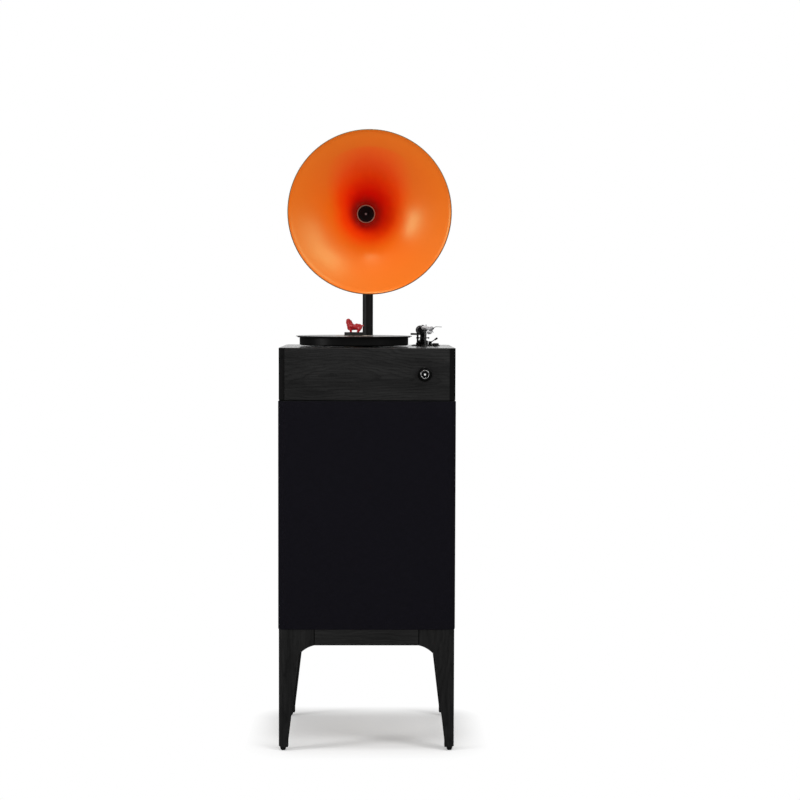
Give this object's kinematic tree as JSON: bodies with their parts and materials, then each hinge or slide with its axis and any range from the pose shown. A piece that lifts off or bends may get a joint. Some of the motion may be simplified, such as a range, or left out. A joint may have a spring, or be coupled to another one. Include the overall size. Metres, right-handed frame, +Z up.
{
  "type": "record player",
  "caption": "Floor-standing cabinet record player: black wood and cloth cabinet on tapered legs, platter, pivoted tonearm and a large orange flared horn on a pole.",
  "frame": {"origin": "on the floor, under the middle of the cabinet", "axes": "+Z up, -Y towards the front with the volume knob, +X towards the tonearm"},
  "size_m": [0.4458, 0.4304, 1.5687],
  "materials": {
    "black_wood": "black open-pored ash, satin",
    "inner_wood": "plain board, unfinished",
    "speaker_cloth": "navy-black woven speaker cloth",
    "black_board": "black painted board",
    "steel": "zinc-plated steel",
    "black_steel": "black oxide screw",
    "glide_metal": "polished nickel",
    "frame_metal": "black cast frame",
    "paper_cone": "black paper cone",
    "black_plastic": "black moulded plastic",
    "circuit_board": "green circuit board",
    "copper_winding": "enamelled copper winding",
    "knob_black": "satin black turned knob",
    "knob_bright": "bright turned ring",
    "plate_metal": "black painted steel plate",
    "contact_metal": "gold-coloured contacts",
    "bearing_bronze": "bronze bearing",
    "spindle_steel": "ground steel",
    "cast_metal": "turned aluminium",
    "motor_metal": "drawn steel can",
    "belt_rubber": "ground rubber belt",
    "platter_black": "satin black platter",
    "felt": "felt mat",
    "vinyl": "pressed black vinyl with a plain label",
    "puck_black": "black rubber-coated weight",
    "figure_red": "glossy red moulded plastic",
    "arm_black": "black anodised aluminium",
    "arm_silver": "satin silver aluminium",
    "weight_black": "black painted steel",
    "cartridge_black": "black moulded cartridge",
    "pole_black": "satin black steel tube",
    "horn_orange": "high-gloss orange lacquer",
    "driver_black": "black painted can",
    "ring_bronze": "satin bronze-coloured ring"
  },
  "bodies": {
    "cabinet": {"leg_front_left": "black_wood", "leg_front_right": "black_wood", "leg_rear_left": "black_wood", "leg_rear_right": "black_wood", "rails_long": "black_wood", "rails_side": "black_wood", "corner_braces": "inner_wood", "stand_bolts": "steel", "leg_glides": "glide_metal", "speaker_box": "inner_wood", "speaker_cloth": "speaker_cloth", "baffle": "inner_wood", "woofer_frame": "frame_metal", "woofer_cone": "paper_cone", "port_tube": "black_plastic", "rear_panel": "black_board", "wood_screws": "black_steel", "top_housing": "black_wood", "housing_floor": "black_board", "amplifier_board": "circuit_board", "power_transformer": "copper_winding", "volume_potentiometer": "steel", "socket_plate": "plate_metal", "mains_inlet": "black_plastic", "phono_sockets": "contact_metal", "platter_bearing": "bearing_bronze", "drive_motor": "motor_metal", "drive_belt": "belt_rubber", "arm_base": "arm_black", "arm_pillar": "arm_black", "arm_rest": "arm_silver", "pole": "pole_black", "pole_flange": "pole_black"},
    "platter": {"spindle": "spindle_steel", "sub_platter": "cast_metal", "platter": "platter_black", "slip_mat": "felt"},
    "record": {"record": "vinyl"},
    "record_weight": {"weight_puck": "puck_black", "weight_figure": "figure_red"},
    "motor_pulley": {"motor_pulley": "bearing_bronze"},
    "arm_yoke": {"arm_yoke": "arm_silver"},
    "arm": {"arm_tube": "arm_black", "headshell": "arm_black", "cartridge": "cartridge_black"},
    "counterweight": {"counterweight": "weight_black"},
    "anti_skate": {"anti_skate_knob": "arm_black"},
    "lift_bar": {"lift_bar": "arm_black"},
    "lift_lever": {"lift_lever": "arm_silver"},
    "selector": {"selector_knob": "knob_black"},
    "volume_knob": {"volume_knob": "knob_black", "knob_ring": "knob_bright"},
    "power_switch": {"power_switch": "black_plastic"},
    "horn_mount": {"swivel_head": "pole_black", "horn_yoke": "pole_black", "grip_screws": "black_plastic"},
    "horn": {"horn": "horn_orange", "driver_housing": "driver_black", "driver_ring": "ring_bronze", "driver_cone": "paper_cone"}
  },
  "joints": [
    {"name": "platter_spin", "type": "hinge", "parent": "cabinet", "child": "platter", "pos_m": [-0.035, -0.022, 1.017], "axis": [0, 0, 1], "continuous": true},
    {"name": "pulley_spin", "type": "hinge", "parent": "cabinet", "child": "motor_pulley", "pos_m": [-0.09671, 0.05154, 1.017], "axis": [0, 0, 1], "continuous": true},
    {"name": "record_lift", "type": "slide", "parent": "platter", "child": "record", "axis": [0, 0, 1], "range_m": [0, 0.012]},
    {"name": "weight_lift", "type": "slide", "parent": "record", "child": "record_weight", "axis": [0, 0, 1], "range_m": [0, 0.012]},
    {"name": "arm_swing", "type": "hinge", "parent": "cabinet", "child": "arm_yoke", "pos_m": [0.1465, 0.096, 1.0645], "axis": [0, 0, -1], "range_deg": [0, 46]},
    {"name": "arm_lift", "type": "hinge", "parent": "arm_yoke", "child": "arm", "pos_m": [0.1465, 0.096, 1.0645], "axis": [-0.9962, -0.0872, 0], "range_deg": [-0.8, 10]},
    {"name": "counterweight_slide", "type": "slide", "parent": "arm", "child": "counterweight", "axis": [-0.0872, 0.9962, 0], "range_m": [-0.008, 0.008]},
    {"name": "lever_turn", "type": "hinge", "parent": "cabinet", "child": "lift_lever", "pos_m": [0.166, 0.084, 1.025], "axis": [0, -1, 0], "range_deg": [0, 40]},
    {"name": "lift_bar_rise", "type": "slide", "parent": "cabinet", "child": "lift_bar", "axis": [0, 0, 1], "range_m": [0, 0.008]},
    {"name": "anti_skate_turn", "type": "hinge", "parent": "cabinet", "child": "anti_skate", "pos_m": [0.1465, 0.0895, 1.0376], "axis": [1, 0, 0], "range_deg": [-120, 120]},
    {"name": "selector_turn", "type": "hinge", "parent": "cabinet", "child": "selector", "pos_m": [0.178, 0.02, 1.017], "axis": [0, 0, 1], "range_deg": [-45, 45]},
    {"name": "volume_turn", "type": "hinge", "parent": "cabinet", "child": "volume_knob", "pos_m": [0.144, -0.2, 0.9515], "axis": [0, -1, 0], "range_deg": [-150, 150]},
    {"name": "power_rock", "type": "hinge", "parent": "cabinet", "child": "power_switch", "pos_m": [-0.101, 0.195, 0.9375], "axis": [1, 0, 0], "range_deg": [-10, 10]},
    {"name": "horn_swivel", "type": "hinge", "parent": "cabinet", "child": "horn_mount", "pos_m": [0, 0.15, 1.3681], "axis": [0, 0, 1], "range_deg": [-60, 60]},
    {"name": "horn_tilt", "type": "hinge", "parent": "horn_mount", "child": "horn", "pos_m": [0, 0.15, 1.3681], "axis": [0.9989, 0.0464, 0], "range_deg": [-20, 8]}
  ],
  "couplings": [
    {"joint": "pulley_spin", "follows": "platter_spin", "ratio": 9},
    {"joint": "lift_bar_rise", "follows": "lever_turn", "m_per_rad": 0.01145}
  ]
}
